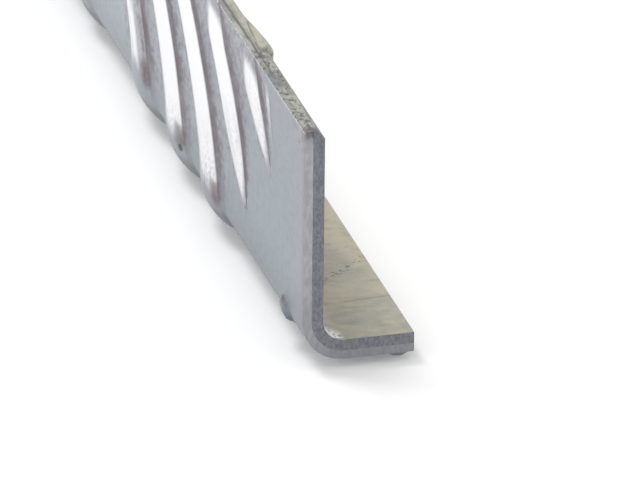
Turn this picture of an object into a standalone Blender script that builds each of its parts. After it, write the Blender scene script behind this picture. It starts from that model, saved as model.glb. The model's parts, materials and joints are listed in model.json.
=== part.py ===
"""Ribbed edge angle, 36 x 16.5 mm and 3 mm thick, as a 250 mm cut length.

An unequal steel angle in two layers: a plain inner angle, and over it an outer angle whose faces carry
slanted raised ribs. The tall leg stands upright and the short flange points towards +X. The length runs
along Y. Distances down the outer face are measured along the section, from the top edge of the leg,
round the heel and out to the free edge of the flange.

Units are metres. The origin is the middle of the footprint, on the surface that the part stands on.
"""

import itertools
import math

import bpy
import numpy as np

# Section of the whole angle
LEG_HEIGHT = 0.0361
FLANGE_WIDTH = 0.0165
HEEL_RADIUS = 0.0062
OUTER_LAYER = 0.0010
BOND_LINE = 0.0003
INNER_LAYER = 0.0017
LENGTH = 0.250

# Sheared inner corner along the top edge of the leg
CORNER_IN = 0.0010
CORNER_DOWN = 0.0013

# Long ribs: groups of five, slanted from the height direction. Each one bends: it slants most at the
# edges and least at the middle of the heel, where it also spreads sideways.
RIB_TILT = math.radians(39.0)
EDGE_SLOPE = 1.25
HEEL_SLOPE = 0.08
RIB_HEIGHT = 0.0013
RIB_LENGTH = 0.0595
RIB_WIDTH = 0.0104
RIB_TAPER = 0.0190
RIB_PITCH = 0.0151
# Share of its height that a rib loses one step from the middle of its group, growing with the step squared
GROUP_CROWN = 0.04
HEEL_SPREAD = 1.25
SPREAD_REACH = 0.0100
RIBS_PER_GROUP = 5
GROUP_GAP = 0.0123
# The lower tips of a group lie on a curve: each is this much lower, times the rib's number cubed
TIP_CURVE = 0.0008

# Studs, two in line below each long rib
STUD_HEIGHT = 0.0010
STUD_LENGTH = 0.0054
STUD_WIDTH = 0.0050
STUDS_IN_LINE = 2
STUD_STEP = 0.0172
STUD_OFFSET = -0.0005
ROW_GAP = 0.0159

# Lower tip of the first long rib: distance from the near cut end, and down from the top edge
FIRST_TIP_ALONG = 0.0178
FIRST_TIP_DOWN = 0.0150

# The ribs run out before the edges
TOP_FADE = 0.0057
FREE_FADE = 0.0010

# Swelling of the inner angle's top edge, behind each group
SWELL_PROUD = 0.0006
SWELL_LENGTH = 0.0140
SWELL_DEPTH = 0.0070
SWELL_ALONG = 0.0350
SWELL_SKEW = 0.5

# Fineness of the ribbed face: rows down the section, and steps round a bend
FACE_ROWS = 24
BEND_STEPS = 8


def clear_scene():
    for item in list(bpy.data.objects):
        bpy.data.objects.remove(item, do_unlink=True)


def metal(name, colour, roughness):
    material = bpy.data.materials.new(name)
    material.use_nodes = True
    shader = material.node_tree.nodes["Principled BSDF"]
    shader.inputs["Base Color"].default_value = (*colour, 1.0)
    shader.inputs["Metallic"].default_value = 1.0
    shader.inputs["Roughness"].default_value = roughness
    return material


def add_object(name, vertices, faces, material=None):
    mesh = bpy.data.meshes.new(name)
    mesh.from_pydata([tuple(v) for v in vertices], [], faces)
    mesh.validate()
    item = bpy.data.objects.new(name, mesh)
    bpy.context.scene.collection.objects.link(item)
    if material:
        mesh.materials.append(material)
    return item


def section_length():
    """Developed length of the outer face: leg, a quarter turn round the heel, flange."""
    flats = LEG_HEIGHT - HEEL_RADIUS + FLANGE_WIDTH - HEEL_RADIUS
    return flats + HEEL_RADIUS * math.pi / 2


def section_at(down):
    """Points (x, z) of the outer face at these distances down it, and its outward normals there."""
    leg_flat = LEG_HEIGHT - HEEL_RADIUS
    turn = np.clip((down - leg_flat) / HEEL_RADIUS, 0.0, math.pi / 2)
    on_leg = np.minimum(down, leg_flat)
    on_flange = np.maximum(down - leg_flat - HEEL_RADIUS * math.pi / 2, 0.0)
    x = HEEL_RADIUS * (1 - np.cos(turn)) + on_flange
    z = LEG_HEIGHT - on_leg - HEEL_RADIUS * np.sin(turn)
    return np.stack([x, z], -1), np.stack([-np.cos(turn), -np.sin(turn)], -1)


def spindle(slide, side, length, width, taper):
    """Height share of one rib: an arc across it, narrowing and sinking to a point at both tips.

    slide runs from 0 at the upper tip to length at the lower one, and side is the distance from the crest.
    """
    to_tip = np.clip(np.minimum(slide, length - slide) / taper, 0.0, 1.0)
    half = np.maximum(width / 2 * to_tip, 1e-9)
    return to_tip * (2 - to_tip) * np.clip(1 - (side / half) ** 2, 0.0, None)


def ease(value):
    """Smooth step from 0 to 1."""
    value = np.clip(value, 0.0, 1.0)
    return value * value * (3 - 2 * value)


def heel_middle():
    """Distance down the outer face to the middle of the heel."""
    return LEG_HEIGHT - HEEL_RADIUS + HEEL_RADIUS * math.pi / 4


def drift(down):
    """How far a crest has moved towards the near end, from the middle of the heel to this distance down.

    Its slope rises evenly from HEEL_SLOPE at the middle of the heel to EDGE_SLOPE at either edge.
    """
    past = down - heel_middle()
    reach = np.where(past < 0, heel_middle(), section_length() - heel_middle())
    return HEEL_SLOPE * past + (EDGE_SLOPE - HEEL_SLOPE) * past * np.abs(past) / reach / 2


def rib_relief(along, down):
    """Height of the ribs over the outer face, at distances along the part and down the face."""
    sine, cosine = math.sin(RIB_TILT), math.cos(RIB_TILT)
    slant = (down - FIRST_TIP_DOWN) * cosine - (along - FIRST_TIP_ALONG) * sine
    across = (along - FIRST_TIP_ALONG + drift(down) - drift(FIRST_TIP_DOWN)) * cosine
    spread = 1 + (HEEL_SPREAD - 1) * ease(1 - np.abs(down - heel_middle()) / SPREAD_REACH)
    group_step = RIBS_PER_GROUP * RIB_PITCH + GROUP_GAP
    studs_run = (STUDS_IN_LINE - 1) * STUD_STEP + STUD_LENGTH
    row_step = RIB_LENGTH + ROW_GAP + studs_run + ROW_GAP
    rows = range(math.floor(slant.min() / row_step) - 1, math.ceil(slant.max() / row_step) + 2)
    groups = range(math.floor(across.min() / group_step) - 1, math.ceil(across.max() / group_step) + 1)
    relief = np.zeros_like(slant)
    for row, group, rib in itertools.product(rows, groups, range(RIBS_PER_GROUP)):
        slide = slant - row * row_step
        side = across - group * group_step - rib * RIB_PITCH
        length = RIB_LENGTH + TIP_CURVE * rib**3
        rise = spindle(slide + RIB_LENGTH, side, length, RIB_WIDTH * spread, RIB_TAPER)
        from_middle = rib - (RIBS_PER_GROUP - 1) / 2
        relief = np.maximum(relief, rise * (1 - GROUP_CROWN * from_middle**2))
        for stud in range(STUDS_IN_LINE):
            reach = slide - ROW_GAP - stud * STUD_STEP
            rise = spindle(reach, side - STUD_OFFSET, STUD_LENGTH, STUD_WIDTH, STUD_LENGTH / 2)
            relief = np.maximum(relief, rise * STUD_HEIGHT / RIB_HEIGHT)
    fade = ease(down / TOP_FADE) * ease((section_length() - down) / FREE_FADE)
    return RIB_HEIGHT * relief * fade


def place(x, along, z):
    """Vertices from distances off the leg's outer face, from the near end and from the flange's underside."""
    return np.stack([x, along, z], -1).reshape(-1, 3)


def ribbed_outer_angle(material):
    """The outer layer: a grid over its ribbed face, with diagonals along the ribs, on a plain inner face."""
    down = np.linspace(0.0, section_length(), FACE_ROWS + 1)
    columns = max(2, round(LENGTH / (down[1] * math.tan(RIB_TILT))))
    along = np.linspace(0.0, LENGTH, columns + 1)
    points, normals = section_at(down)
    relief = rib_relief(along[:, None] + 0 * down, down + 0 * along[:, None])
    outer = points + normals * relief[..., None]
    inner = points - normals * OUTER_LAYER
    run = np.broadcast_to(along[:, None], relief.shape)
    vertices = [place(outer[..., 0], run, outer[..., 1])]
    for end in (0.0, LENGTH):
        vertices.append(place(inner[:, 0], np.full(FACE_ROWS + 1, end), inner[:, 1]))

    wide = FACE_ROWS + 1
    near = wide * (columns + 1)
    far = near + wide
    faces = []
    for i in range(columns):
        for j in range(FACE_ROWS):
            a, b = i * wide + j, (i + 1) * wide + j
            faces += [(a, b, a + 1), (b, b + 1, a + 1)]
    last = columns * wide
    for j in range(FACE_ROWS):
        faces.append((near + j, near + j + 1, far + j + 1, far + j))
        faces.append((j, j + 1, near + j + 1, near + j))
        faces.append((last + j, far + j, far + j + 1, last + j + 1))
    middle = columns // 2
    for j, turned in ((0, False), (FACE_ROWS, True)):
        edge = [(i * wide + j, (i + 1) * wide + j) for i in range(columns)]
        fan = [(a, near + j if i < middle else far + j, b) for i, (a, b) in enumerate(edge)]
        fan.append((middle * wide + j, near + j, far + j))
        faces += [face[::-1] if turned else face for face in fan]
    return add_object("ribbed_outer_angle", np.concatenate(vertices), faces, material)


def inner_section():
    """Closed outline (x, z) of the inner angle, from its top outer corner round the outside of the heel."""
    shell = OUTER_LAYER + BOND_LINE
    wall = shell + INNER_LAYER
    outline = [(shell, LEG_HEIGHT)]
    steps = range(BEND_STEPS + 1)
    for radius, order in ((HEEL_RADIUS - shell, steps), (HEEL_RADIUS - wall, reversed(steps))):
        arc = []
        for step in order:
            turn = step / BEND_STEPS * math.pi / 2
            arc.append((HEEL_RADIUS - radius * math.cos(turn), HEEL_RADIUS - radius * math.sin(turn)))
        outline += arc
        if radius == HEEL_RADIUS - shell:
            outline += [(FLANGE_WIDTH, shell), (FLANGE_WIDTH, wall)]
    return outline + [(wall, LEG_HEIGHT - CORNER_DOWN), (wall - CORNER_IN, LEG_HEIGHT)]


def cutter(name, vertices, faces):
    item = add_object(name, vertices, faces)
    item.hide_render = True
    item.display_type = "WIRE"
    return item


def inner_angle(material):
    """The inner layer: its section drawn along the length, with the swellings joined at the top edge."""
    outline = inner_section()
    count = len(outline)
    vertices = [(x, along, z) for along in (0.0, LENGTH) for x, z in outline]
    faces = [tuple(range(count)), tuple(range(2 * count - 1, count - 1, -1))]
    faces += [(i, count + i, count + (i + 1) % count, (i + 1) % count) for i in range(count)]
    angle = add_object("inner_angle", vertices, faces, material)
    group_along = (RIBS_PER_GROUP * RIB_PITCH + GROUP_GAP) / math.cos(RIB_TILT)
    inner_face = OUTER_LAYER + BOND_LINE + INNER_LAYER
    index = 0
    while SWELL_ALONG + index * group_along + SWELL_LENGTH / 2 < LENGTH:
        centre = (inner_face, SWELL_ALONG + index * group_along, LEG_HEIGHT)
        swell = ellipsoid(f"swell_{index}", centre, (SWELL_PROUD, SWELL_LENGTH / 2, SWELL_DEPTH))
        join = angle.modifiers.new(swell.name, "BOOLEAN")
        join.operation = "UNION"
        join.object = swell
        index += 1
    trim = angle.modifiers.new("top_trim", "BOOLEAN")
    trim.operation = "DIFFERENCE"
    trim.object = top_trim(inner_face)
    return angle


def ellipsoid(name, centre, half):
    """Lens-shaped body of the swelling, fuller towards the near end, from rings round the Y axis."""
    rings, sides = 8, 16
    vertices = [(centre[0], centre[1] - half[1], centre[2])]
    for ring in range(1, rings):
        lean = math.pi * ring / rings
        bulge = math.sin(lean) * (1 + SWELL_SKEW * math.cos(lean))
        for side in range(sides):
            turn = 2 * math.pi * side / sides
            x = centre[0] + half[0] * bulge * math.cos(turn)
            z = centre[2] + half[2] * bulge * math.sin(turn)
            vertices.append((x, centre[1] - half[1] * math.cos(lean), z))
    vertices.append((centre[0], centre[1] + half[1], centre[2]))
    last = len(vertices) - 1
    faces = []
    for side in range(sides):
        beside = (side + 1) % sides
        faces.append((0, 1 + side, 1 + beside))
        for ring in range(rings - 2):
            a = 1 + ring * sides
            faces.append((a + side, a + sides + side, a + sides + beside, a + beside))
        a = last - sides
        faces.append((a + beside, a + side, last))
    return cutter(name, vertices, faces)


def top_trim(inner_face):
    """Block above the leg that cuts the swellings flush with its top edge."""
    low = (0.0, -LENGTH / 10, LEG_HEIGHT)
    high = (inner_face + 4 * SWELL_PROUD, LENGTH * 1.1, LEG_HEIGHT + 2 * SWELL_DEPTH)
    vertices = [(x, y, z) for x in (low[0], high[0]) for y in (low[1], high[1]) for z in (low[2], high[2])]
    faces = [(0, 1, 3, 2), (4, 6, 7, 5), (0, 4, 5, 1), (2, 3, 7, 6), (0, 2, 6, 4), (1, 5, 7, 3)]
    return cutter("top_trim", vertices, faces)


def centre_on_origin(outer):
    """Stands the part on its lowest rib with the middle of its footprint at the origin."""
    points = np.array([vertex.co for vertex in outer.data.vertices])
    low, high = points.min(axis=0), points.max(axis=0)
    stand = bpy.data.objects.new("edge_angle", None)
    bpy.context.scene.collection.objects.link(stand)
    stand.location = (-(low[0] + high[0]) / 2, -(low[1] + high[1]) / 2, -low[2])
    for item in list(bpy.data.objects):
        if item.type == "MESH":
            item.parent = stand


def main():
    clear_scene()
    zinc = metal("rolled_zinc", (0.47, 0.49, 0.53), 0.38)
    dull = metal("dull_zinc", (0.42, 0.41, 0.37), 0.55)
    outer = ribbed_outer_angle(zinc)
    inner_angle(dull)
    centre_on_origin(outer)


main()
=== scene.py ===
"""Looks of a ribbed edge angle: an unequal metal angle in two layers, with slanted raised ribs outside.

The outer angle and the inner angle are each one closed surface, carried along the length of the part.
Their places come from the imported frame. Lengths are in metres, and a distance "down" is measured along
the section, from the top edge of the leg, round the heel and out to the free edge of the flange.
"""

import itertools
import json
import math

import bpy
import numpy as np
from mathutils import Matrix, Vector


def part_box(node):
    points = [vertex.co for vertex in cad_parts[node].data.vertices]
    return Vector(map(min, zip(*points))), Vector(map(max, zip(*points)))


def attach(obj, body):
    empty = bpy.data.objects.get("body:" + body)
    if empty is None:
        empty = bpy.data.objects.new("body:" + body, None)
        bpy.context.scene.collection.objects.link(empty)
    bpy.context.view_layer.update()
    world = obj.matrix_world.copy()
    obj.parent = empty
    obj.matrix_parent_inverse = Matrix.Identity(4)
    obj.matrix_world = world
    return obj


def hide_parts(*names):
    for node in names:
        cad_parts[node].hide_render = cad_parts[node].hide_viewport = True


bl_info = {
    "name": "Ribbed Edge Angle",
    "version": (1, 0, 0),
    "blender": (4, 5, 0),
    "location": "View3D > Sidebar > Edge Angle",
    "description": "Ribbed outer angle, plain inner angle and a pale stage",
    "category": "Object",
}

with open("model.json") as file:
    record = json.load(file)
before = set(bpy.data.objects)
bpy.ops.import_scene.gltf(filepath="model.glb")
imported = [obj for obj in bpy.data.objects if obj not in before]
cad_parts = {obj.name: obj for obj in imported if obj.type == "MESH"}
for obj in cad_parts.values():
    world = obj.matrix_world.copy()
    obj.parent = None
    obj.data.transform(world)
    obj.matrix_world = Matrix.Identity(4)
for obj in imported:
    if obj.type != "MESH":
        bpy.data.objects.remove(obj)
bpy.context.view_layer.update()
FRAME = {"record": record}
OUTER_LOW, OUTER_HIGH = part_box("ribbed_outer_angle")
INNER_LOW, INNER_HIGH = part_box("inner_angle")
LENGTH = OUTER_HIGH[1] - OUTER_LOW[1]
MOUNTS = {mount["name"]: mount for mount in FRAME["record"]["mounts"]}
INNER_WALL = MOUNTS["leg_inner_face"]["pos_m"][0]

# Points of the inner angle's section on its top edge, leg, flange and free edge
EDGE_POINTS = 8
LEG_POINTS = 70
FLANGE_POINTS = 25
FREE_POINTS = 3

FLOOR_RADIUS = 6.0
FLOOR_SIDES = 64
FLOOR_DROP = 0.0002


def length(name, default, description):
    """A length property in metres."""
    return bpy.props.FloatProperty(
        name=name, description=description, default=default, min=0.0, unit="LENGTH", precision=5
    )


def colour(name, default, description):
    """A colour property."""
    return bpy.props.FloatVectorProperty(
        name=name, description=description, default=default, size=3, min=0.0, max=1.0, subtype="COLOR"
    )


class RibSizes(bpy.types.PropertyGroup):
    """Layout of the ribs and studs on the outer faces."""

    height: length("Height", 0.0013, "How far a rib stands out of the face")
    tilt: bpy.props.FloatProperty(
        name="Tilt",
        description="Lean of the ribs from the height direction",
        default=math.radians(39.0),
        subtype="ANGLE",
    )
    edge_slope: bpy.props.FloatProperty(
        name="Edge slope", description="Extra lean of a rib at the edges", default=1.25
    )
    heel_slope: bpy.props.FloatProperty(
        name="Heel slope", description="Extra lean of a rib at the middle of the heel", default=0.08
    )
    long: length("Length", 0.0595, "Length of a long rib")
    width: length("Width", 0.0104, "Width of a long rib at its foot")
    taper: length("Taper", 0.0170, "Length of a long rib's pointed end")
    fullness: bpy.props.FloatProperty(
        name="Fullness", description="How far the sides of a long rib's end bulge", default=1.0, min=0, max=1
    )
    pitch: length("Pitch", 0.0151, "Distance from rib to rib, square to the ribs")
    per_group: bpy.props.IntProperty(
        name="Ribs in a group", description="Long ribs side by side in one group", default=5, min=1
    )
    crown: bpy.props.FloatProperty(
        name="Group crown", description="Height lost one step from a group's middle rib", default=0.04
    )
    group_gap: length("Group gap", 0.0123, "Extra distance between two groups")
    heel_spread: bpy.props.FloatProperty(
        name="Heel spread", description="How much wider a rib is at the heel", default=1.25
    )
    spread_reach: length("Spread reach", 0.0100, "Distance over which a rib widens at the heel")
    tip_curve: length("Tip curve", 0.0008, "How much lower a rib's tip is, times the rib's number cubed")
    first_along: length("First tip along", 0.0178, "First rib's lower tip, from the near cut end")
    first_down: length("First tip down", 0.0150, "First rib's lower tip, from the top edge")
    stud_height: length("Stud height", 0.0008, "How far a stud stands out of the face")
    stud: length("Stud length", 0.0046, "Length of a stud")
    stud_width: length("Stud width", 0.0044, "Width of a stud")
    stud_step: length("Stud step", 0.0172, "Distance from stud to stud in a line")
    studs_in_line: bpy.props.IntProperty(
        name="Studs in a line", description="Studs below each long rib", default=2, min=0
    )
    stud_offset: bpy.props.FloatProperty(
        name="Stud offset", description="Sideways offset of the studs", default=-0.0005, unit="LENGTH"
    )
    row_gap: length("Row gap", 0.0159, "Plain stretch between ribs and studs")
    top_fade: length("Top fade", 0.0057, "Distance over which the ribs run out at the top edge")
    free_fade: length("Free edge fade", 0.0010, "The same at the flange's free edge")


class SectionSizes(bpy.types.PropertyGroup):
    """Sizes of the angle's section that the frame doesn't give."""

    heel_radius: length("Heel radius", 0.0062, "Outer radius of the heel")
    corner_in: length("Corner in", 0.0010, "Width of the sheared corner at the top edge")
    corner_down: length("Corner down", 0.0013, "Depth of the sheared corner at the top edge")
    arris: length("Arris", 0.00018, "Rounding of the long edges")
    seam: length("Seam", 0.00001, "Gap between the two layers")
    fine_step: length("Fine step", 0.00036, "Grid step along the near part")
    fine_length: length("Fine length", 0.1250, "Length of the near part that has the fine grid")
    coarse_step: length("Coarse step", 0.00065, "Grid step along the far part")
    down_step: length("Step down", 0.00045, "Grid step round the section")


class SwellSizes(bpy.types.PropertyGroup):
    """The swelling of the inner angle's top edge, behind each rib group."""

    proud: length("Proud", 0.0008, "How far the swelling stands out of the inner face")
    long: length("Length", 0.0140, "Length of a swelling")
    deep: length("Depth", 0.0070, "How far down the leg it reaches")
    along: length("First along", 0.0363, "Middle of the first swelling, from the near cut end")
    skew: bpy.props.FloatProperty(
        name="Skew", description="How much fuller it is towards the near end", default=0.8
    )


class Finish(bpy.types.PropertyGroup):
    """Colours of the metal faces."""

    land: colour("Land", (0.315, 0.352, 0.386), "Plain outer face between the ribs")
    mauve: colour("Mauve", (0.37, 0.35, 0.40), "Faint mauve clouds on the outer face")
    between: colour("Between", (0.325, 0.315, 0.345), "Mottled face between the ribs")
    # Crest: worn bright rib crests with a painted highlight; also the bright top arris and a ridge's painted
    # highlight
    crest: colour("Crest", (0.88, 0.88, 0.90), "Rib crests, worn bright")
    # Foot: dirt and painted shade at the near foot of a rib; also dark specks, dark streaks and a ridge's
    # painted shade
    foot: colour("Foot", (0.155, 0.132, 0.145), "Dirt at the near foot of a rib")
    stain: colour("Stain", (0.135, 0.085, 0.090), "Brown stain where a rib turns round the heel")
    light_cut: colour("Light cut", (0.42, 0.42, 0.44), "Cut end of the outer angle")
    dark_cut: colour("Dark cut", (0.235, 0.247, 0.275), "Cut end of the inner angle")
    dull: colour("Dull", (0.50, 0.465, 0.365), "Inner faces")
    edge: colour("Edge", (0.27, 0.27, 0.25), "Sheared top edge")
    pale_edge: colour("Pale edge", (0.40, 0.40, 0.36), "Rubbed parts of the sheared edge")


class StageSettings(bpy.types.PropertyGroup):
    """Camera and light."""

    azimuth: bpy.props.FloatProperty(
        name="Azimuth",
        description="Turn of the view to the left of the length direction",
        default=math.radians(15.6),
        subtype="ANGLE",
    )
    elevation: bpy.props.FloatProperty(
        name="Elevation",
        description="Height of the view above the horizon",
        default=math.radians(24.7),
        subtype="ANGLE",
    )
    roll: bpy.props.FloatProperty(
        name="Roll",
        description="Turn of the camera about its view",
        default=math.radians(0.6),
        subtype="ANGLE",
    )
    lens: bpy.props.FloatProperty(
        name="Lens", description="Focal length in millimetres", default=1200.0, unit="CAMERA"
    )
    view_width: length("View width", 0.08984, "Width of the view at the near cut end")
    heel_right: bpy.props.FloatProperty(
        name="Heel right",
        description="Heel's near corner, right of the view's middle",
        default=-0.00178,
        unit="LENGTH",
    )
    heel_down: bpy.props.FloatProperty(
        name="Heel down",
        description="Heel's near corner, below the view's middle",
        default=0.01611,
        unit="LENGTH",
    )
    world: bpy.props.FloatProperty(name="World", description="Strength of the even light", default=0.73)
    key: bpy.props.FloatProperty(name="Key lamp", description="Power of the key lamp in watts", default=9.0)
    fill: bpy.props.FloatProperty(
        name="Fill lamp", description="Power of the fill lamp in watts", default=2.5
    )
    floor_albedo: bpy.props.FloatProperty(
        name="Floor albedo", description="Share of the light that the floor gives back", default=0.86
    )
    floor_glow: bpy.props.FloatProperty(
        name="Floor glow", description="Light added where the floor is seen", default=0.155
    )


# Shapes


def settings(name):
    return getattr(bpy.context.scene, "edge_angle_" + name)


def ease(amount):
    """Smooth step from 0 to 1: 3t^2 - 2t^3 of the amount held between 0 and 1."""
    held = np.clip(amount, 0.0, 1.0)
    return held * held * (3 - 2 * held)


class Section:
    """The plain outer section: leg, round heel and flange."""

    def __init__(self):
        rise = settings("ribs").height
        self.heel = settings("section").heel_radius
        self.split = INNER_LOW[0] - OUTER_LOW[0] - rise
        self.corner = np.array([INNER_LOW[0], INNER_LOW[2]]) - self.split
        self.height = OUTER_HIGH[2] - self.corner[1]
        self.flange = OUTER_HIGH[0] - self.corner[0]
        self.leg_flat = self.height - self.heel
        self.bend = self.heel * math.pi / 2
        self.around = self.leg_flat + self.bend + self.flange - self.heel
        self.heel_middle = self.leg_flat + self.bend / 2
        self.wall = INNER_WALL - self.corner[0]

    def at(self, down, inward=0.0):
        """Point (x, z) at a distance down the section, moved inward along the normal, and the outward normal.

        On the leg x is 0 and z falls; round the heel the point follows a quarter circle; on the flange z is
        0 and x grows.
        """
        turn = np.clip((down - self.leg_flat) / self.heel, 0.0, math.pi / 2)
        on_leg = np.minimum(down, self.leg_flat)
        on_flange = np.maximum(down - self.leg_flat - self.bend, 0.0)
        x = self.heel * (1 - np.cos(turn)) + on_flange
        z = self.height - on_leg - self.heel * np.sin(turn)
        normal = np.stack([-np.cos(turn), -np.sin(turn)], -1)
        return np.stack([x, z], -1) + self.corner - np.asarray(inward)[..., None] * normal, normal


def columns():
    """Positions along the length: a fine step near the cut end, then a coarse one."""
    sizes = settings("section")
    fine = np.linspace(0.0, sizes.fine_length, round(sizes.fine_length / sizes.fine_step) + 1)
    rest = LENGTH - sizes.fine_length
    coarse = np.linspace(sizes.fine_length, LENGTH, round(rest / sizes.coarse_step) + 1)
    return np.concatenate([fine, coarse[1:]])


def spindle(slide, side, long, width, taper, fullness):
    """Height from 0 to 1 of a rib with pointed ends, and the distance from its crest line in half widths.

    With t from 0 at a tip to 1 at the taper's end, the crest's height is t (2 - t), and the half width grows
    as t at fullness 0 and as t (2 - t) at fullness 1. Across the rib the height is (1 - share^2)^1.3 of the
    crest's, which leaves a small fillet at the foot.
    """
    to_tip = np.clip(np.minimum(slide, long - slide) / taper, 0.0, 1.0)
    half = np.maximum(width / 2 * to_tip * (1 + fullness * (1 - to_tip)), 1e-6)
    share = side / half
    return to_tip * (2 - to_tip) * np.clip(1 - share**2, 0.0, None) ** 1.3, share


def drift(section, ribs, down):
    """Sideways bend of a crest line: its slope grows in a straight line from the heel to either edge."""
    past = down - section.heel_middle
    reach = np.where(past < 0, section.heel_middle, section.around - section.heel_middle)
    return ribs.heel_slope * past + (ribs.edge_slope - ribs.heel_slope) * past * np.abs(past) / reach / 2


def away_from_jumps(field):
    """1 at each grid point whose four neighbours differ from it by less than 1, and 0 at the others."""
    calm = np.ones(field.shape)
    high = np.abs(np.diff(field, axis=0)) > 1.0
    wide = np.abs(np.diff(field, axis=1)) > 1.0
    calm[:-1][high] = calm[1:][high] = 0.0
    calm[:, :-1][wide] = calm[:, 1:][wide] = 0.0
    return calm


def rib_field(section, along, down):
    """Relief from 0 to 1 of all ribs and studs, the flank, and the slanted coordinates that they repeat in.

    Each rib is a spindle in these: "slant" runs along it and "across" square to it. Rows and groups of ribs
    repeat, and the highest one counts. The flank is the distance from the nearest crest line in half
    widths, negative on the side of the near cut end. The number is that line's place in its group, and -1
    on a stud. "from_tip" is the distance up the rib from its lower tip, and "calm" is 0 where the flank
    jumps from one rib's to the next.
    """
    ribs = settings("ribs")
    sine, cosine = math.sin(ribs.tilt), math.cos(ribs.tilt)
    slant = (down - ribs.first_down) * cosine - (along - ribs.first_along) * sine
    bent = drift(section, ribs, down) - drift(section, ribs, np.array(ribs.first_down))
    across = (along - ribs.first_along + bent) * cosine
    widen = ease(1 - np.abs(down - section.heel_middle) / ribs.spread_reach)
    width = ribs.width * (1 + (ribs.heel_spread - 1) * widen)
    group_step = ribs.per_group * ribs.pitch + ribs.group_gap
    studs_run = (ribs.studs_in_line - 1) * ribs.stud_step + ribs.stud
    row_step = ribs.long + ribs.row_gap + studs_run + ribs.row_gap
    rows = range(math.floor(slant.min() / row_step) - 1, math.ceil(slant.max() / row_step) + 2)
    groups = range(math.floor(across.min() / group_step) - 1, math.ceil(across.max() / group_step) + 1)
    relief = np.zeros_like(slant)
    flank = np.full_like(slant, 1.6)
    number = np.zeros_like(slant)
    from_tip = np.zeros_like(slant)
    for row, group, rib in itertools.product(rows, groups, range(ribs.per_group)):
        slide = slant - row * row_step
        side = across - group * group_step - rib * ribs.pitch
        crowned = 1 - ribs.crown * (rib - (ribs.per_group - 1) / 2) ** 2
        long = ribs.long + ribs.tip_curve * rib**3
        lines = [(slide + ribs.long, side, long, width, ribs.taper, ribs.fullness)]
        for stud in range(ribs.studs_in_line):
            reach = slide - ribs.row_gap - stud * ribs.stud_step
            lines.append((reach, side - ribs.stud_offset, ribs.stud, ribs.stud_width, ribs.stud / 2, 0.0))
        for index, line in enumerate(lines):
            rise, share = spindle(*line)
            flat_topped = np.minimum(1.4 * rise, 1.0) * ribs.stud_height / ribs.height
            rise = flat_topped if index else rise * crowned
            nearer = (rise > relief) | ((relief == 0) & (np.abs(share) < np.abs(flank)))
            flank = np.where(nearer, share, flank)
            number = np.where(nearer, -1 if index else rib, number)
            from_tip = np.where(nearer, -slide, from_tip)
            relief = np.maximum(relief, rise)
    fade = ease(down / ribs.top_fade) * ease((section.around - down) / ribs.free_fade)
    flank = np.clip(flank, -1.6, 1.6)
    layout = {"flank": flank, "calm": away_from_jumps(flank), "number": number, "from_tip": from_tip}
    return relief * fade, {**layout, "slant": slant, "across": across}


def carry(profile, along):
    """Points (columns, profile, 3) along the length, of one profile (x, z) or of one for each column."""
    wide = np.broadcast_to(profile, (len(along), *profile.shape[-2:]))
    points = np.empty((*wide.shape[:2], 3))
    points[..., 0] = wide[..., 0]
    points[..., 1] = OUTER_LOW[1] + along[:, None]
    points[..., 2] = wide[..., 1]
    return points


def tube(name, points, slot_of, materials, attributes):
    """A closed tube from rings of points (columns, around, 3), with a flat cap over each end ring.

    slot_of gives the material slot of each strip between two neighbouring points of a ring. The caps take
    the last slot. attributes are per-point values (columns, around), stored by name.
    """
    count, around = points.shape[:2]
    ring = np.arange(around)
    start = (np.arange(count - 1) * around)[:, None]
    ahead = (ring + 1) % around
    quads = np.stack([start + ring, start + ring + around, start + ahead + around, start + ahead], -1)
    quads = quads.reshape(-1, 4)
    loops = np.concatenate([quads.ravel(), ring, (count - 1) * around + ring[::-1]])
    totals = np.concatenate([np.full(len(quads), 4), [around, around]])
    mesh = bpy.data.meshes.new(name)
    mesh.vertices.add(count * around)
    mesh.vertices.foreach_set("co", points.astype(np.float32).ravel())
    mesh.loops.add(len(loops))
    mesh.loops.foreach_set("vertex_index", loops.astype(np.int32))
    mesh.polygons.add(len(totals))
    mesh.polygons.foreach_set("loop_start", (np.cumsum(totals) - totals).astype(np.int32))
    mesh.polygons.foreach_set("loop_total", totals.astype(np.int32))
    slots = np.concatenate([np.tile(slot_of, count - 1), [len(materials) - 1] * 2])
    mesh.polygons.foreach_set("material_index", slots.astype(np.int32))
    for key, values in attributes.items():
        layer = mesh.attributes.new(key, "FLOAT", "POINT")
        layer.data.foreach_set("value", values.astype(np.float32).ravel())
    for material in materials:
        mesh.materials.append(material)
    mesh.update(calc_edges=True)
    if mesh.validate():
        raise RuntimeError(name + " has faces that Blender had to repair")
    mesh.shade_smooth()
    mesh.set_sharp_from_angle(angle=math.radians(32))
    piece = bpy.data.objects.new(name, mesh)
    bpy.context.scene.collection.objects.link(piece)
    return piece


def arc(centre, radius, first, last, steps=12):
    """Points (x, z) on a round corner, from the first angle to the last."""
    turn = np.linspace(first, last, steps + 1)
    return np.stack([centre[0] + radius * np.cos(turn), centre[1] + radius * np.sin(turn)], -1)


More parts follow.
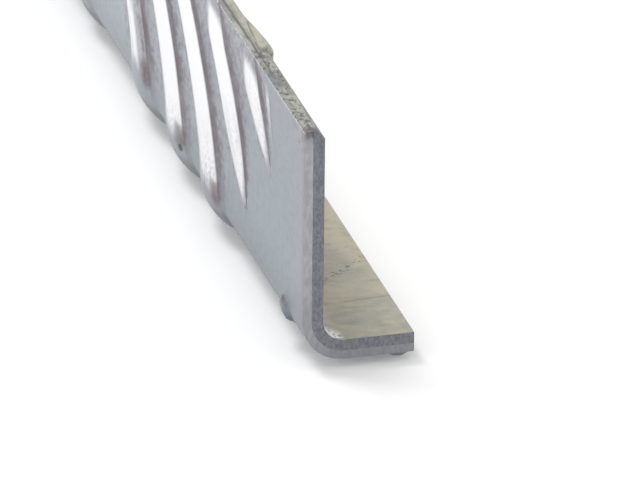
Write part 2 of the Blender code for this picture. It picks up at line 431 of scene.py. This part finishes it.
def make_outer(section):
    """Ring of the outer angle: the ribbed face from the top arris to the free edge, then back along the seam.

    Each point of the ribbed face moves out along the section's normal by the rib height times the relief.
    """
    sizes, ribs = settings("section"), settings("ribs")
    along = columns()
    round_in = sizes.arris
    down = np.concatenate([
        [0.0, 0.25 * round_in, 0.6 * round_in],
        np.linspace(round_in, section.around - round_in, round(section.around / sizes.down_step)),
        section.around - np.array([0.6, 0.25, 0.0]) * round_in,
    ])
    edge = np.minimum(down, section.around - down)
    tuck = round_in - np.sqrt(np.maximum(round_in**2 - np.maximum(round_in - edge, 0.0) ** 2, 0.0))
    grid_along, grid_down = np.meshgrid(along, down, indexing="ij")
    relief, layout = rib_field(section, grid_along, grid_down)
    face, normal = section.at(grid_down, np.broadcast_to(tuck, grid_down.shape))
    face = face + (ribs.height * relief)[..., None] * normal
    back_down = np.concatenate([
        [section.around, section.leg_flat + section.bend],
        section.leg_flat + section.bend * np.linspace(0.9, 0.1, 9),
        [section.leg_flat, 0.0],
    ])
    back, _ = section.at(back_down, np.full(len(back_down), section.split - sizes.seam))
    ring = np.concatenate([face, np.broadcast_to(back, (len(along), *back.shape))], axis=1)
    blank = np.zeros((len(along), len(back_down)))
    values = {key: np.concatenate([field, blank], axis=1) for key, field in layout.items()}
    values["relief"] = np.concatenate([relief, blank], axis=1)
    values["down"] = np.concatenate([grid_down, blank + back_down], axis=1)
    slot_of = np.zeros(ring.shape[1])
    slot_of[len(down) - 1:] = 2
    slot_of[-1] = 1
    slot_of[:2] = 1
    materials = [RibbedZinc().make(), sheared_edge(), light_cut_end()]
    piece = tube("ribbed_outer_face", carry(ring, along), slot_of, materials, values)
    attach(piece, "root")
    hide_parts("ribbed_outer_angle")
    return piece


def swelling(along, height):
    """How far the inner face stands out near the top edge: for each rib group half an ellipsoid, whose
    section is fuller towards the near end. height is measured from the top edge, and is negative."""
    sizes, ribs = settings("swell"), settings("ribs")
    step = (ribs.per_group * ribs.pitch + ribs.group_gap) / math.cos(ribs.tilt)
    proud = np.zeros(np.broadcast(along, height).shape)
    for group in range(int(LENGTH / step) + 1):
        middle = sizes.along + group * step
        if middle + sizes.long / 2 >= LENGTH:
            break
        lean = np.clip((middle - along) / (sizes.long / 2), -1.0, 1.0)
        bulge = np.sqrt(1 - lean**2) * (1 + sizes.skew * lean)
        depth = np.maximum(sizes.deep * bulge, 1e-6)
        proud = proud + sizes.proud * bulge * np.sqrt(np.clip(1 - (height / depth) ** 2, 0.0, 1.0))
    return proud


def make_inner(section):
    """Ring of the inner angle: top edge, sheared corner, inner leg, inner heel, inner flange, free edge, then
    back along the seam. The swellings move its points in x.
    """
    sizes = settings("section")
    along = columns()
    top = OUTER_HIGH[2]
    left, low = section.corner
    wall = left + section.wall
    shell = left + section.split
    inner_radius = section.heel - section.wall
    bend_centre = section.corner + section.heel
    edge_x = np.linspace(shell, wall - sizes.corner_in, EDGE_POINTS)
    edge_top = np.stack([edge_x, np.full(EDGE_POINTS, top)], -1)
    leg_z = np.linspace(top - sizes.corner_down, bend_centre[1], LEG_POINTS)
    leg = np.stack([np.full(LEG_POINTS, wall), leg_z], -1)
    bend = arc(bend_centre, inner_radius, math.pi, 1.5 * math.pi)[1:]
    flange_x = np.linspace(bend_centre[0], OUTER_HIGH[0], FLANGE_POINTS + 1)[1:]
    flange = np.stack([flange_x, np.full(FLANGE_POINTS, low + section.wall)], -1)
    free_z = np.linspace(low + section.wall, low + section.split, FREE_POINTS + 1)[1:]
    free = np.stack([np.full(FREE_POINTS, OUTER_HIGH[0]), free_z], -1)
    under = arc(bend_centre, section.heel - section.split, 1.5 * math.pi, math.pi)
    profile = np.concatenate([edge_top, leg, bend, flange, free, under])
    ring = np.broadcast_to(profile, (len(along), *profile.shape)).copy()
    faces_in = slice(len(edge_top) - 1, len(edge_top) + len(leg))
    height = profile[faces_in, 1] - top
    ring[:, faces_in, 0] += swelling(along[:, None], height[None, :])
    slot_of = np.zeros(len(profile))
    slot_of[:len(edge_top)] = 1
    slot_of[len(profile) - len(under) - FREE_POINTS:] = 2
    materials = [dull_zinc(), sheared_edge(), dark_cut_end()]
    piece = tube("plain_inner_angle", carry(ring, along)[:, ::-1], np.roll(slot_of[::-1], -1), materials, {})
    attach(piece, "root")
    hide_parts("inner_angle")
    return piece


# Materials

# Colours of details on the outer face, some of them painted light and shade
FAR_LAND_LIGHT = (0.52, 0.56, 0.60)
PALE_MOTTLE = (0.50, 0.49, 0.54)
DARK_MOTTLE = (0.18, 0.17, 0.20)
PALE_GRAIN = (0.55, 0.55, 0.58)
DARK_GRAIN = (0.17, 0.17, 0.20)
HEEL_SHADE = (0.13, 0.16, 0.18)
STUD_SHADE = (0.20, 0.22, 0.26)
DUSKY_CREST = (0.52, 0.515, 0.56)
DARK_HEEL = (0.06, 0.07, 0.08)
SPOT = (0.05, 0.06, 0.07)
SCORE = (0.24, 0.22, 0.25)
DARK_ARRIS = (0.20, 0.17, 0.19)

# Colours of painted shade on the outer angle's cut end
LOW_SHADE = (0.15, 0.16, 0.18)
HEEL_CUT_SHADE = (0.15, 0.16, 0.19)
TOP_SHADE = (0.12, 0.12, 0.14)
NICK_SHADE = (0.05, 0.05, 0.06)

# Colours of details on the sheared top edge
SWELLING = (0.47, 0.45, 0.36)
RUBBED = (0.62, 0.62, 0.57)
CREASE_SHADE = (0.08, 0.075, 0.07)
FOLD_SHADE = (0.10, 0.09, 0.08)
SLATE = (0.15, 0.17, 0.19)
NEAR_END = (0.13, 0.11, 0.125)

# Colours of details on the inner faces
NEAR_DULL = (0.27, 0.255, 0.225)
RUDDY = (0.58, 0.51, 0.43)
OLIVE = (0.27, 0.285, 0.245)
PALE_MARK = (0.58, 0.55, 0.47)
DARK_MARK = (0.26, 0.24, 0.21)
SPECK = (0.12, 0.10, 0.09)
SPECK_ROW = (0.14, 0.10, 0.09)
SCRATCH = (0.20, 0.18, 0.16)
BURR_AND_HIGHLIGHT = (0.85, 0.86, 0.88)

# Single marks on the outer face: a dark spot, from the cut end and below the leg's flat, and the painted
# highlight and shade of a faint ridge, by its lean and its distance from the cut end at the top edge
SPOT_ALONG = 0.0645
SPOT_DOWN = 0.0007
RIDGE_LEAN = 0.353
RIDGE_ALONG = 0.0213


class Value:
    """A shader socket that makes Math nodes when it is used in an expression."""

    def __init__(self, shader, socket):
        self.shader = shader
        self.socket = socket

    def math(self, operation, *terms):
        return self.shader.node("ShaderNodeMath", {"operation": operation}, terms)

    def __add__(self, other):
        return self.math("ADD", self, other)

    def __radd__(self, other):
        return self.math("ADD", other, self)

    def __sub__(self, other):
        return self.math("SUBTRACT", self, other)

    def __rsub__(self, other):
        return self.math("SUBTRACT", other, self)

    def __mul__(self, other):
        return self.math("MULTIPLY", self, other)

    def __rmul__(self, other):
        return self.math("MULTIPLY", other, self)

    def __abs__(self):
        return self.math("ABSOLUTE", self)

    def larger(self, other):
        return self.math("MAXIMUM", self, other)

    def rise(self, low, high):
        """0 below low, 1 above high, smooth between. With low above high it falls instead."""
        if low > high:
            return 1 - self.rise(high, low)
        return self.shader.node(
            "ShaderNodeMapRange",
            {"interpolation_type": "SMOOTHSTEP"},
            {"Value": self, "From Min": low, "From Max": high},
        )


class Shader:
    """A new material and its node tree."""

    def __init__(self, name):
        self.material = bpy.data.materials.new(name)
        self.material.use_nodes = True
        self.tree = self.material.node_tree
        self.tree.nodes.clear()
        self.place = self.node("ShaderNodeTexCoord", {}, {}, "Object")
        self.across, self.along, self.height = (
            self.node("ShaderNodeSeparateXYZ", {}, [self.place], axis) for axis in "XYZ"
        )

    def node(self, kind, options, values, output=0):
        """Adds a node: options are set first, then each socket gets its value or link. Gives one output."""
        made = self.tree.nodes.new(kind)
        for key, option in options.items():
            setattr(made, key, option)
        pairs = values.items() if isinstance(values, dict) else enumerate(values)
        for key, value in pairs:
            if isinstance(value, Value):
                self.tree.links.new(value.socket, made.inputs[key])
            else:
                made.inputs[key].default_value = value
        return Value(self, made.outputs[output])

    def attribute(self, name):
        return self.node("ShaderNodeAttribute", {"attribute_name": name}, {}, "Fac")

    def noise(self, stretch, detail=3.0, roughness=0.55, seed=0.0, place=None):
        """Noise from 0 to 1 on object coordinates, or on a given place, with waves per metre on each axis."""
        shift = (seed, seed / 3, seed / 7)
        spot = self.node(
            "ShaderNodeMapping", {}, {"Vector": place or self.place, "Scale": stretch, "Location": shift}
        )
        return self.node(
            "ShaderNodeTexNoise", {}, {"Vector": spot, "Scale": 1.0, "Detail": detail, "Roughness": roughness}
        )

    def mix(self, amount, first, second):
        """Colour between the first, at amount 0, and the second, at amount 1."""
        ends = [value if isinstance(value, Value) else (*value, 1.0) for value in (first, second)]
        return self.node(
            "ShaderNodeMix", {"data_type": "RGBA"}, {0: amount, 6: ends[0], 7: ends[1]}, 2
        )

    def finish(self, colour, roughness, metallic, bumps):
        """Principled surface. bumps are (height value, distance in metres) pairs, one on top of the other."""
        values = {"Base Color": colour, "Roughness": roughness, "Metallic": metallic}
        normal = None
        for height, distance in bumps:
            sockets = {"Height": height, "Distance": distance, "Strength": 1.0}
            if normal:
                sockets["Normal"] = normal
            normal = self.node("ShaderNodeBump", {}, sockets)
        surface = self.node("ShaderNodeBsdfPrincipled", {}, {**values, "Normal": normal})
        out = self.tree.nodes.new("ShaderNodeOutputMaterial")
        self.tree.links.new(surface.socket, out.inputs["Surface"])
        return self.material


class RibbedZinc(Shader):
    """Rolled zinc of the outer face. It reads the fields that rib_field gives, and its parts are mixed in the
    order land, dirt and painted shade at the rib feet, crests with wear and a painted highlight, stains and a
    darker heel, and marks."""

    def __init__(self):
        super().__init__("ribbed_zinc")
        self.tint = settings("finish")
        self.relief, self.flank, self.down, self.number, self.calm, self.from_tip = (
            self.attribute(key) for key in ("relief", "flank", "down", "number", "calm", "from_tip")
        )
        slanted = self.node(
            "ShaderNodeCombineXYZ", {}, [self.attribute("across"), self.attribute("slant"), self.down]
        )
        self.clouds = self.noise((60.0, 90.0, 35.0), seed=3.0)
        self.mottle = self.noise((820.0, 640.0, 820.0), detail=4.0, roughness=0.6, seed=11.0)
        self.grain = self.noise((1500.0, 1500.0, 1500.0), detail=3.0, roughness=0.6, seed=43.0)
        self.speck = self.noise((2600.0, 2600.0, 2600.0), detail=2.0, seed=5.0)
        self.streak = self.noise((1500.0, 90.0, 60.0), detail=3.0, seed=23.0, place=slanted)
        self.patch = self.noise((420.0, 150.0, 40.0), detail=3.0, seed=31.0, place=slanted)
        self.from_cut = self.along - OUTER_LOW[1]
        self.heel_top = Section().leg_flat  # distance down at which the heel begins
        self.on_leg = self.down.rise(self.heel_top + 0.0010, self.heel_top - 0.0060)
        last_number = settings("ribs").per_group - 1
        self.last = self.number.rise(last_number - 0.6, last_number - 0.4)
        self.ragged = self.down + 0.003 * (self.patch - 0.5)

    def land(self):
        """Plain face: bluish with mauve clouds and painted light towards the far end, greyer and mottled
        between the ribs, with painted shade on the heel and on the studs.
        """
        tint, from_cut, mottle, grain = self.tint, self.from_cut, self.mottle, self.grain
        between = abs(self.flank).rise(1.58, 1.10)
        rough = 0.22 + 0.78 * between * self.on_leg
        tone = self.mix(self.clouds.rise(0.50, 0.66) * 0.6, tint.land, tint.mauve)
        # Painted light: the land grows lighter towards the far end
        tone = self.mix(from_cut.rise(0.030, 0.120) * 0.42, tone, FAR_LAND_LIGHT)
        tone = self.mix(from_cut.rise(0.0075, 0.0015) * 0.40, tone, tint.mauve)
        amount = between * self.on_leg * (0.45 + 0.40 * self.patch.rise(0.40, 0.66))
        tone = self.mix(amount, tone, tint.between)
        tone = self.mix(mottle.rise(0.46, 0.68) * rough * 0.45, tone, PALE_MOTTLE)
        tone = self.mix(mottle.rise(0.50, 0.34) * rough * 0.50, tone, DARK_MOTTLE)
        tone = self.mix(grain.rise(0.52, 0.70) * rough * 0.38, tone, PALE_GRAIN)
        tone = self.mix(grain.rise(0.46, 0.32) * rough * 0.38, tone, DARK_GRAIN)
        tone = self.mix(self.speck.rise(0.30, 0.16) * 0.5, tone, tint.foot)
        # Painted shade: darker on the heel and on the studs
        heel = self.down.rise(self.heel_top - 0.007, self.heel_top + 0.003)
        tone = self.mix(heel * 0.30, tone, HEEL_SHADE)
        on_stud = self.number.rise(-0.5, -0.9) * self.relief.rise(0.05, 0.40)
        return self.mix(on_stud * 0.45, tone, STUD_SHADE)

    def dirt_and_shade(self, tone):
        """Dirt and painted shade: a dark foot close beside each rib, on the side of the near cut end."""
        beside = self.flank.rise(-1.50, -0.90) * (0.20 + 0.40 * self.mottle.rise(0.60, 0.38))
        close = self.flank.rise(-1.08, -0.86) * (0.68 + 0.24 * self.streak.rise(0.35, 0.60))
        amount = beside.larger(close) * (0.70 + 0.30 * self.patch.rise(0.34, 0.58))
        amount = amount * self.flank.rise(-0.66, -0.72) * self.calm * (0.15 + 0.85 * self.on_leg)
        return self.mix(amount, tone, self.tint.foot)

    def worn_and_highlit(self):
        """Where the crests are worn bright and carry a painted highlight: on the leg, and less on the last
        rib of a group.
        """
        above_heel = (self.ragged + 0.0010 * self.last).rise(self.heel_top + 0.0004, self.heel_top - 0.0030)
        shifted = self.flank - 0.20 * self.last + 0.06 * (self.streak - 0.5)
        amount = shifted.rise(-0.74, -0.64) * shifted.rise(0.48, 0.05)
        amount = amount * self.relief.rise(0.08, 0.40) * self.number.rise(-0.9, -0.5)
        amount = amount * (0.06 + 0.94 * above_heel)
        low_end = self.down.rise(self.heel_top - 0.0070, self.heel_top - 0.0015)
        amount = amount * (1.0 - 0.35 * low_end * self.grain.rise(0.44, 0.60))
        amount = amount * (1.0 - 0.75 * self.last * self.flank.rise(-0.10, -0.34))
        return amount * (1.0 - 0.35 * self.last * self.streak.rise(0.48, 0.62))

    def crests(self, tone, worn_and_highlit):
        """Bright crests of wear and a painted highlight, dusky towards the lower tips, and dark streaks on
        the last rib's near side.
        """
        dusky = 0.10 + 0.42 * self.streak.rise(0.42, 0.64) + 0.28 * self.grain.rise(0.46, 0.62)
        dusky = dusky * self.from_tip.rise(0.0230, 0.0040)
        tone = self.mix(worn_and_highlit, tone, self.mix(dusky, self.tint.crest, DUSKY_CREST))
        near_side = self.last * self.relief.rise(0.10, 0.40) * self.flank.rise(-0.20, -0.40) * self.on_leg
        return self.mix(near_side * self.streak.rise(0.56, 0.40) * 0.40, tone, self.tint.foot)

    def stains_and_darker_heel(self, tone):
        """A brown stain where each rib turns round the heel, a darker heel, and one dark spot."""
        placed = self.ragged + 0.0012 * self.last - 0.0005
        ring = placed.rise(self.heel_top - 0.0038, self.heel_top - 0.0022)
        ring = ring * placed.rise(self.heel_top + 0.0010, self.heel_top - 0.0008)
        stained = ring * self.relief.rise(0.10, 0.36) * self.flank.rise(-0.20, -0.52)
        stained = stained * (0.78 + 0.22 * self.grain.rise(0.62, 0.44))
        tone = self.mix(stained * 0.74, tone, self.tint.stain)
        # Darker band round the heel
        turned = self.down.rise(self.heel_top + 0.0014, self.heel_top + 0.0032)
        turned = turned * self.down.rise(self.heel_top + 0.0078, self.heel_top + 0.0052)
        tone = self.mix(turned * 0.5, tone, DARK_HEEL)
        spot_along = 1300.0 * (self.from_cut - SPOT_ALONG)
        spot_down = 1900.0 * (self.down - self.heel_top - SPOT_DOWN)
        spot = (spot_along * spot_along + spot_down * spot_down).rise(1.3, 0.4)
        return self.mix(spot * 0.85, tone, SPOT)

    def marks(self, tone):
        """A bright top arris, a scored line and a dark arris at the cut, and the painted highlight of a faint
        ridge by one rib with painted shade beside it.
        """
        arris = self.down.rise(0.00045, 0.00010) * self.speck.rise(0.42, 0.58)
        tone = self.mix(arris * 0.8, tone, self.tint.crest)
        broken = self.mottle.rise(0.30, 0.50)
        score = self.from_cut.rise(0.0005, 0.0008) * self.from_cut.rise(0.0016, 0.0011) * broken
        tone = self.mix(score * 0.35, tone, SCORE)
        tone = self.mix(self.from_cut.rise(0.00065, 0.00020) * broken * 0.55, tone, DARK_ARRIS)
        # Painted highlight of a faint ridge, with painted shade along its near side
        from_ridge = self.from_cut + RIDGE_LEAN * self.down - RIDGE_ALONG
        reach = self.down.rise(0.0012, 0.0042) * self.down.rise(0.0110, 0.0060)
        ridge_highlight = abs(from_ridge).rise(0.00110, 0.00060) * reach
        tone = self.mix(ridge_highlight * (0.25 + 0.45 * self.down.rise(0.0070, 0.0020)), tone, self.tint.crest)
        rim = abs(from_ridge + 0.0012).rise(0.00045, 0.00010)
        return self.mix(rim * reach * 0.45, tone, self.tint.foot)

    def make(self):
        """Mixes all parts, smoother where the crests are worn and carry the painted highlight, and gives the
        material.
        """
        worn_and_highlit = self.worn_and_highlit()
        tone = self.marks(self.stains_and_darker_heel(self.crests(self.dirt_and_shade(self.land()), worn_and_highlit)))
        roughness = 0.46 - 0.14 * worn_and_highlit + 0.10 * self.clouds
        return self.finish(tone, roughness, 0.55, [(self.mottle, 0.00004), (self.speck, 0.00002)])


def light_cut_end():
    """Cut end of the outer angle: pale with a fine grain, with painted shade towards the bottom, under the
    heel and along the top, and painted shade for a nick at the top.
    """
    tint = settings("finish")
    shader = Shader("light_cut_end")
    grain = shader.noise((1800.0, 1800.0, 700.0), detail=4.0, seed=7.0)
    tone = shader.mix(grain.rise(0.36, 0.66), [0.82 * part for part in tint.light_cut], tint.light_cut)
    height = shader.height - OUTER_LOW[2]
    # Painted shade: darker towards the bottom, under the heel and along the top, and in a nick at the top
    tone = shader.mix(height.rise(0.0180, 0.0070) * 0.22, tone, LOW_SHADE)
    tone = shader.mix(height.rise(0.0060, 0.0022) * 0.35, tone, HEEL_CUT_SHADE)
    under_top = OUTER_HIGH[2] - shader.height + 0.0008 * (grain - 0.5)
    nick_shade = under_top.rise(0.0013, 0.0006) * (shader.across - OUTER_LOW[0]).rise(0.0014, 0.0018)
    tone = shader.mix(under_top.rise(0.0024, 0.0006) * 0.45, tone, TOP_SHADE)
    tone = shader.mix(nick_shade * (0.45 + 0.4 * grain.rise(0.55, 0.40)), tone, NICK_SHADE)
    return shader.finish(tone, 0.5, 0.4, [(grain, 0.00004)])


def dark_cut_end():
    """Cut end of the inner angle: slate, torn and grainy, with a few bright flecks."""
    tint = settings("finish")
    shader = Shader("dark_cut_end")
    grain = shader.noise((2600.0, 2600.0, 1500.0), detail=5.0, roughness=0.7, seed=2.0)
    fleck = shader.noise((3400.0, 3400.0, 3400.0), detail=2.0, seed=31.0)
    tone = shader.mix(grain.rise(0.34, 0.66), [0.62 * part for part in tint.dark_cut], tint.dark_cut)
    tone = shader.mix(fleck.rise(0.66, 0.76) * 0.6, tone, tint.pale_edge)
    return shader.finish(tone, 0.62, 0.3, [(grain, 0.00010)])


def sheared_edge():
    """Sheared top edge: khaki grey with dark pits and pale rubbed patches drawn out along the length, painted
    shade in a crease beside the outer face and along a slanted fold, one slate patch, and a dark near end.
    The swellings are smoother."""
    tint, swell = settings("finish"), settings("swell")
    shader = Shader("sheared_edge")
    patches = shader.noise((900.0, 160.0, 500.0), detail=3.0, seed=17.0)
    pits = shader.noise((1500.0, 950.0, 1500.0), detail=4.0, roughness=0.72, seed=4.0)
    from_cut = shader.along - OUTER_LOW[1]
    from_face = shader.across - OUTER_LOW[0] - settings("ribs").height
    smooth = from_cut.rise(swell.along - 0.5 * swell.long - 0.0015, swell.along - 0.5 * swell.long + 0.002)
    tone = shader.mix(patches.rise(0.42, 0.62), tint.edge, tint.pale_edge)
    tone = shader.mix(smooth * from_face.rise(0.0011, 0.0017) * 0.7, tone, SWELLING)
    pitted = pits.rise(0.52, 0.41) * (1.0 - 0.75 * smooth)
    tone = shader.mix(pitted * 0.82, tone, [0.30 * part for part in tint.edge])
    tone = shader.mix(pits.rise(0.60, 0.72) * 0.4, tone, RUBBED)
    offset = from_face - 0.0005 - 0.0006 * patches
    crease_shade = abs(offset).rise(0.00028, 0.00008) * from_cut.rise(0.0185, 0.0215)
    front = from_face - 0.0012 - 0.10 * (from_cut - swell.along + 0.5 * swell.long) + 0.0006 * (patches - 0.5)
    fold_shade = abs(front).rise(0.00022, 0.00006) * smooth * patches.rise(0.36, 0.52)
    # Painted shade in a crease beside the outer face and along a slanted fold
    tone = shader.mix(crease_shade * 0.7, tone, CREASE_SHADE)
    tone = shader.mix(fold_shade * 0.6, tone, FOLD_SHADE)
    slate = from_cut.rise(0.0150, 0.0170) * from_cut.rise(0.0225, 0.0205) * from_face.rise(0.0018, 0.0012)
    tone = shader.mix(slate * 0.55, tone, SLATE)
    near_end = (from_cut + 0.002 * (patches - 0.5)).rise(0.0020, 0.0006)
    tone = shader.mix(near_end * 0.65, tone, NEAR_END)
    return shader.finish(tone, 0.58, 0.35, [(pits, 0.00012), (patches, 0.00015)])


def dull_zinc():
    """Inner faces: dull khaki with pale clouds, faint marks across the length, one slanted row of dark
    specks near the cut end, and bright burrs with a painted highlight in the heel at the cut."""
    tint = settings("finish")
    shader = Shader("dull_zinc")
    clouds = shader.noise((80.0, 110.0, 80.0), detail=5.0, seed=9.0)
    marks = shader.noise((330.0, 1200.0, 330.0), detail=4.0, seed=13.0)
    blotch = shader.noise((520.0, 620.0, 520.0), detail=4.0, roughness=0.6, seed=53.0)
    specks = shader.noise((1500.0, 1900.0, 1500.0), detail=2.0, seed=21.0)
    grey = [0.80 * tint.dull[0], 0.84 * tint.dull[1], 0.94 * tint.dull[2]]
    from_cut = shader.along - OUTER_LOW[1]
    from_wall = shader.across - INNER_WALL
    floor = shader.height - OUTER_LOW[2]
    on_flange = floor.rise(0.0105, 0.0070)
    tone = shader.mix(clouds.rise(0.36, 0.62), tint.dull, grey)
    tone = shader.mix(from_cut.rise(0.0100, 0.0010) * 0.30, tone, NEAR_DULL)
    tone = shader.mix(blotch.rise(0.50, 0.66) * 0.40, tone, RUDDY)
    tone = shader.mix(blotch.rise(0.47, 0.34) * 0.35, tone, OLIVE)
    tone = shader.mix(marks.rise(0.48, 0.72) * 0.22, tone, PALE_MARK)
    tone = shader.mix(marks.rise(0.40, 0.26) * 0.30, tone, DARK_MARK)
    tone = shader.mix(specks.rise(0.27, 0.20) * 0.6, tone, SPECK)
    slanted = from_cut - 0.0153 - 0.83 * from_wall + 0.0016 * (blotch - 0.5)
    row = abs(slanted).rise(0.0015, 0.0005) * specks.rise(0.46, 0.36) * on_flange
    tone = shader.mix(row * 0.65, tone, SPECK_ROW)
    scratch = from_cut - 0.0118 - 0.08 * from_wall
    line = abs(scratch).rise(0.0006, 0.0001) * marks.rise(0.35, 0.55) * on_flange
    tone = shader.mix(line * 0.40, tone, SCRATCH)
    # Bright burrs with a painted highlight along the inner heel near the cut
    burr_and_highlight = (from_cut + 0.0010 * (blotch - 0.5)).rise(0.0042, 0.0014) * floor.rise(0.0115, 0.0085)
    burr_and_highlight = burr_and_highlight * from_wall.rise(0.0036, 0.0024) * specks.rise(0.40, 0.54)
    tone = shader.mix(burr_and_highlight, tone, BURR_AND_HIGHLIGHT)
    return shader.finish(tone, 0.60, 0.25, [(marks, 0.00004), (specks, 0.00003)])


# Stage


def aim_camera():
    """A long-lens camera that puts the heel's near corner at its place in the view."""
    stage = settings("stage")
    across, high = stage.azimuth, stage.elevation
    view = Vector((math.sin(across) * math.cos(high), math.cos(across) * math.cos(high), -math.sin(high)))
    level = Vector((math.cos(across), -math.sin(across), 0.0))
    upright = level.cross(view)
    right = level * math.cos(stage.roll) + upright * math.sin(stage.roll)
    up = upright * math.cos(stage.roll) - level * math.sin(stage.roll)
    section = Section()
    heel = Vector((section.corner[0], OUTER_LOW[1], section.corner[1]))
    target = heel - right * stage.heel_right + up * stage.heel_down
    data = bpy.data.cameras.new("camera")
    data.lens = stage.lens
    data.clip_start, data.clip_end = 0.05, 20.0
    distance = stage.view_width * data.lens / data.sensor_width
    camera = bpy.data.objects.new("camera", data)
    turned = Matrix((right, up, -view)).transposed().to_4x4()
    camera.matrix_world = Matrix.Translation(target - view * distance) @ turned
    bpy.context.scene.collection.objects.link(camera)
    bpy.context.scene.camera = camera


def lamp(name, place, size, power):
    """A square area lamp that points at the origin."""
    data = bpy.data.lights.new(name, "AREA")
    data.size = size
    data.energy = power
    item = bpy.data.objects.new(name, data)
    turned = (-Vector(place)).to_track_quat("-Z", "Y").to_matrix().to_4x4()
    item.matrix_world = Matrix.Translation(place) @ turned
    bpy.context.scene.collection.objects.link(item)


def white_to_view(shader):
    """1 for rays that see the floor or the world directly, in a mirror or through glass, and 0 for light."""
    path = shader.node("ShaderNodeLightPath", {}, {}, "Is Camera Ray")
    node = path.socket.node
    glossy = Value(shader, node.outputs["Is Glossy Ray"])
    through = Value(shader, node.outputs["Is Transmission Ray"])
    return path.larger(glossy.larger(through))


def make_floor():
    """A wide disc just under the lowest rib, white to the eye, which keeps the part's shadow."""
    stage = settings("stage")
    shader = Shader("pale_floor")
    values = {"Base Color": (*[stage.floor_albedo] * 3, 1.0), "Roughness": 1.0, "Specular IOR Level": 0.0}
    plain = shader.node("ShaderNodeBsdfPrincipled", {}, values)
    lit = {"Emission Color": (1.0, 1.0, 1.0, 1.0), "Emission Strength": stage.floor_glow}
    glowing = shader.node("ShaderNodeBsdfPrincipled", {}, {**values, **lit})
    both = shader.node("ShaderNodeMixShader", {}, [white_to_view(shader), plain, glowing])
    out = shader.tree.nodes.new("ShaderNodeOutputMaterial")
    shader.tree.links.new(both.socket, out.inputs["Surface"])
    turn = np.linspace(0, 2 * math.pi, FLOOR_SIDES + 1)[:-1]
    level = np.full(FLOOR_SIDES, OUTER_LOW[2] - FLOOR_DROP)
    rim = np.stack([FLOOR_RADIUS * np.cos(turn), FLOOR_RADIUS * np.sin(turn), level], -1)
    mesh = bpy.data.meshes.new("floor")
    mesh.from_pydata(rim.tolist(), [], [list(range(FLOOR_SIDES))])
    mesh.materials.append(shader.material)
    floor = bpy.data.objects.new("floor", mesh)
    bpy.context.scene.collection.objects.link(floor)


def make_world():
    """Even light of the set strength, and white where it is seen."""
    stage = settings("stage")
    world = bpy.data.worlds.new("soft_white")
    bpy.context.scene.world = world
    world.use_nodes = True
    nodes, links = world.node_tree.nodes, world.node_tree.links
    nodes.clear()
    path = nodes.new("ShaderNodeLightPath")
    glossy, seen = nodes.new("ShaderNodeMath"), nodes.new("ShaderNodeMath")
    glossy.operation = seen.operation = "MAXIMUM"
    links.new(path.outputs["Is Glossy Ray"], glossy.inputs[0])
    links.new(path.outputs["Is Transmission Ray"], glossy.inputs[1])
    links.new(path.outputs["Is Camera Ray"], seen.inputs[0])
    links.new(glossy.outputs[0], seen.inputs[1])
    light, white = nodes.new("ShaderNodeBackground"), nodes.new("ShaderNodeBackground")
    light.inputs["Strength"].default_value = stage.world
    white.inputs["Strength"].default_value = 1.0
    for background in (light, white):
        background.inputs["Color"].default_value = (1.0, 1.0, 1.0, 1.0)
    mix, out = nodes.new("ShaderNodeMixShader"), nodes.new("ShaderNodeOutputWorld")
    links.new(seen.outputs[0], mix.inputs[0])
    links.new(light.outputs[0], mix.inputs[1])
    links.new(white.outputs[0], mix.inputs[2])
    links.new(mix.outputs[0], out.inputs[0])


# Operators and panel


class EDGEANGLE_OT_outer(bpy.types.Operator):
    """Makes the ribbed outer angle"""

    bl_idname = "edge_angle.outer"
    bl_label = "Ribbed Outer Angle"

    def execute(self, context):
        make_outer(Section())
        return {"FINISHED"}


class EDGEANGLE_OT_inner(bpy.types.Operator):
    """Makes the plain inner angle"""

    bl_idname = "edge_angle.inner"
    bl_label = "Plain Inner Angle"

    def execute(self, context):
        make_inner(Section())
        return {"FINISHED"}


class EDGEANGLE_OT_stage(bpy.types.Operator):
    """Makes the floor, the light and the camera"""

    bl_idname = "edge_angle.stage"
    bl_label = "Stage"

    def execute(self, context):
        context.scene.view_settings.view_transform = "Standard"
        make_world()
        make_floor()
        stage = settings("stage")
        lamp("key", (-0.45, 0.35, 1.3), 0.5, stage.key)
        lamp("fill", (-1.2, -0.9, 0.6), 0.8, stage.fill)
        aim_camera()
        return {"FINISHED"}


class EDGEANGLE_PT_sidebar(bpy.types.Panel):
    """Lists the operators and the sizes"""

    bl_idname = "EDGEANGLE_PT_sidebar"
    bl_label = "Edge Angle"
    bl_space_type = "VIEW_3D"
    bl_region_type = "UI"
    bl_category = "Edge Angle"

    def draw(self, context):
        for operator in OPERATORS:
            self.layout.operator(operator.bl_idname)
        for key, group in GROUPS.items():
            box = self.layout.box()
            box.label(text=key.title())
            for name in group.__annotations__:
                box.prop(settings(key), name)


GROUPS = {
    "ribs": RibSizes,
    "section": SectionSizes,
    "swell": SwellSizes,
    "finish": Finish,
    "stage": StageSettings,
}
OPERATORS = (EDGEANGLE_OT_outer, EDGEANGLE_OT_inner, EDGEANGLE_OT_stage)


def register():
    for group in (*GROUPS.values(), *OPERATORS, EDGEANGLE_PT_sidebar):
        bpy.utils.register_class(group)
    for key, group in GROUPS.items():
        setattr(bpy.types.Scene, "edge_angle_" + key, bpy.props.PointerProperty(type=group))


def unregister():
    for key in GROUPS:
        delattr(bpy.types.Scene, "edge_angle_" + key)
    for group in (EDGEANGLE_PT_sidebar, *OPERATORS, *GROUPS.values()):
        bpy.utils.unregister_class(group)


def main():
    register()
    bpy.ops.edge_angle.outer()
    bpy.ops.edge_angle.inner()
    bpy.ops.edge_angle.stage()


if __name__ == "__main__":
    main()
